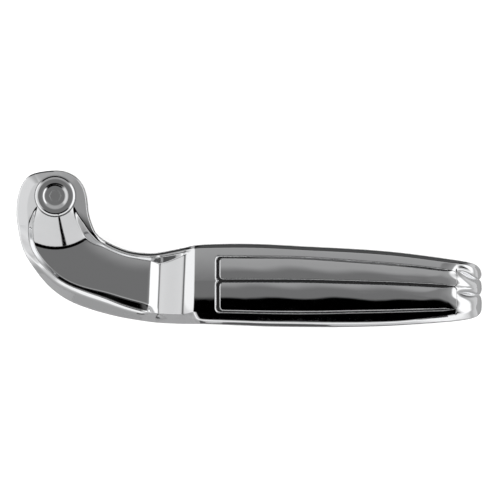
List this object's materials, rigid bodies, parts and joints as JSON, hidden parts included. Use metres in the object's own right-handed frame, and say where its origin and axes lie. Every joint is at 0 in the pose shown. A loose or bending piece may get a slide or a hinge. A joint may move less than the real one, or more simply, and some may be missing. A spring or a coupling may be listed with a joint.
{
  "type": "clutch lever",
  "caption": "Chromed cruiser clutch lever: forked pivot end with bolt, bushes and washers, curved neck, wide blade with two inlaid bars, and a turning cable anchor.",
  "frame": {"origin": "where the pivot bolt's axis meets the plane of the flat underside, at the centre of the bolt's end face", "axes": "+Z along the pivot bolt towards its head, +X out along the blade to its tip, +Y towards the handlebar"},
  "size_m": [0.1768, 0.0595, 0.0205],
  "materials": {
    "chromed_casting": "polished",
    "chromed_bars": "polished",
    "chromed_bolt": "polished",
    "ground_steel": "satin",
    "spring_steel": "satin",
    "zinc_plated_steel": "satin",
    "bronze_bush": "satin",
    "nylon": "matte"
  },
  "bodies": {
    "pivot": {"pivot_bolt": "chromed_bolt", "pivot_sleeve": "ground_steel", "upper_thrust_washer": "nylon", "lower_thrust_washer": "nylon", "wave_washer": "spring_steel", "nut_washer": "zinc_plated_steel", "pivot_nut": "zinc_plated_steel", "nut_lock_ring": "nylon"},
    "lever": {"lever_body": "chromed_casting", "rear_blade_bar": "chromed_bars", "front_blade_bar": "chromed_bars", "rear_bar_screw_1": "zinc_plated_steel", "rear_bar_screw_2": "zinc_plated_steel", "front_bar_screw_1": "zinc_plated_steel", "front_bar_screw_2": "zinc_plated_steel", "upper_pivot_bush": "bronze_bush", "lower_pivot_bush": "bronze_bush", "anchor_upper_bush": "nylon", "anchor_lower_bush": "nylon"},
    "cable_anchor": {"cable_anchor_pin": "zinc_plated_steel", "anchor_washer": "nylon", "anchor_clip": "spring_steel"}
  },
  "joints": [
    {"name": "lever_swing", "type": "hinge", "parent": "pivot", "child": "lever", "pos_m": [0, 0, 0], "axis": [0, 0, 1], "range_deg": [0, 25]},
    {"name": "cable_anchor_turn", "type": "hinge", "parent": "lever", "child": "cable_anchor", "pos_m": [0.0062, -0.0274, 0], "axis": [0, 0, 1], "range_deg": [-25, 0]}
  ],
  "couplings": [
    {"joint": "cable_anchor_turn", "follows": "lever_swing", "ratio": -1}
  ]
}
